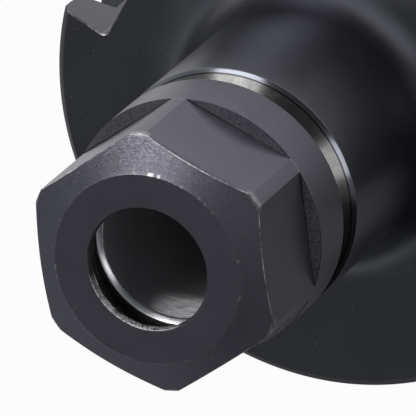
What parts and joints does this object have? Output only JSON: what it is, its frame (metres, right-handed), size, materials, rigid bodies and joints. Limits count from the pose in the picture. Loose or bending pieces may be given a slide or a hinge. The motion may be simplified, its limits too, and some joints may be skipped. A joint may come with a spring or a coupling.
{
  "type": "collet chuck",
  "caption": "Collet chuck: steep taper shank with a grooved and slotted gripper flange, a blended round neck, and a hexagon clamping nut round an empty collet seat.",
  "frame": {"origin": "centre of the taper's gauge line, on the tool axis, where the taper is 44.45 mm across", "axes": "+Z along the tool axis towards the nose, +X through the middle of the shallower drive slot, +Y towards the data chip hole"},
  "size_m": [0.0614, 0.0636, 0.1616],
  "materials": {
    "blackened_steel": "black oxide, satin, with ground taper",
    "blackened_nut": "black oxide, satin, worn on its edges",
    "ground_steel": "ground bright",
    "spring_steel": "drawn wire",
    "screw_steel": "oiled black",
    "stud_steel": "hardened and ground",
    "seal_rubber": "moulded"
  },
  "bodies": {
    "chuck": {"chuck_body": "blackened_steel", "pull_stud": "stud_steel", "pull_stud_seal": "seal_rubber", "coolant_plug_screws": "screw_steel"},
    "pull_ring": {"extraction_ring": "ground_steel"},
    "nut": {"clamping_nut": "blackened_nut", "snap_wire": "spring_steel"},
    "stop_seal": {"stop_screw_seal": "seal_rubber"},
    "stop": {"stop_screw": "screw_steel"}
  },
  "joints": [
    {"name": "nut_advance", "type": "slide", "parent": "chuck", "child": "pull_ring", "axis": [0, 0, 1], "range_m": [-0.00075, 0.0075]},
    {"name": "nut_turn", "type": "hinge", "parent": "pull_ring", "child": "nut", "pos_m": [0, 0, 0.0667], "axis": [0, 0, 1], "range_deg": [-181, 1801]},
    {"name": "stop_advance", "type": "slide", "parent": "chuck", "child": "stop_seal", "axis": [0, 0, 1], "range_m": [-0.006, 0.006]},
    {"name": "stop_turn", "type": "hinge", "parent": "stop_seal", "child": "stop", "pos_m": [0, 0, 0.014], "axis": [0, 0, 1], "range_deg": [-1441, 1441]}
  ],
  "couplings": [
    {"joint": "nut_turn", "follows": "nut_advance", "rad_per_m": 4188.8},
    {"joint": "stop_turn", "follows": "stop_advance", "rad_per_m": 4188.8}
  ]
}
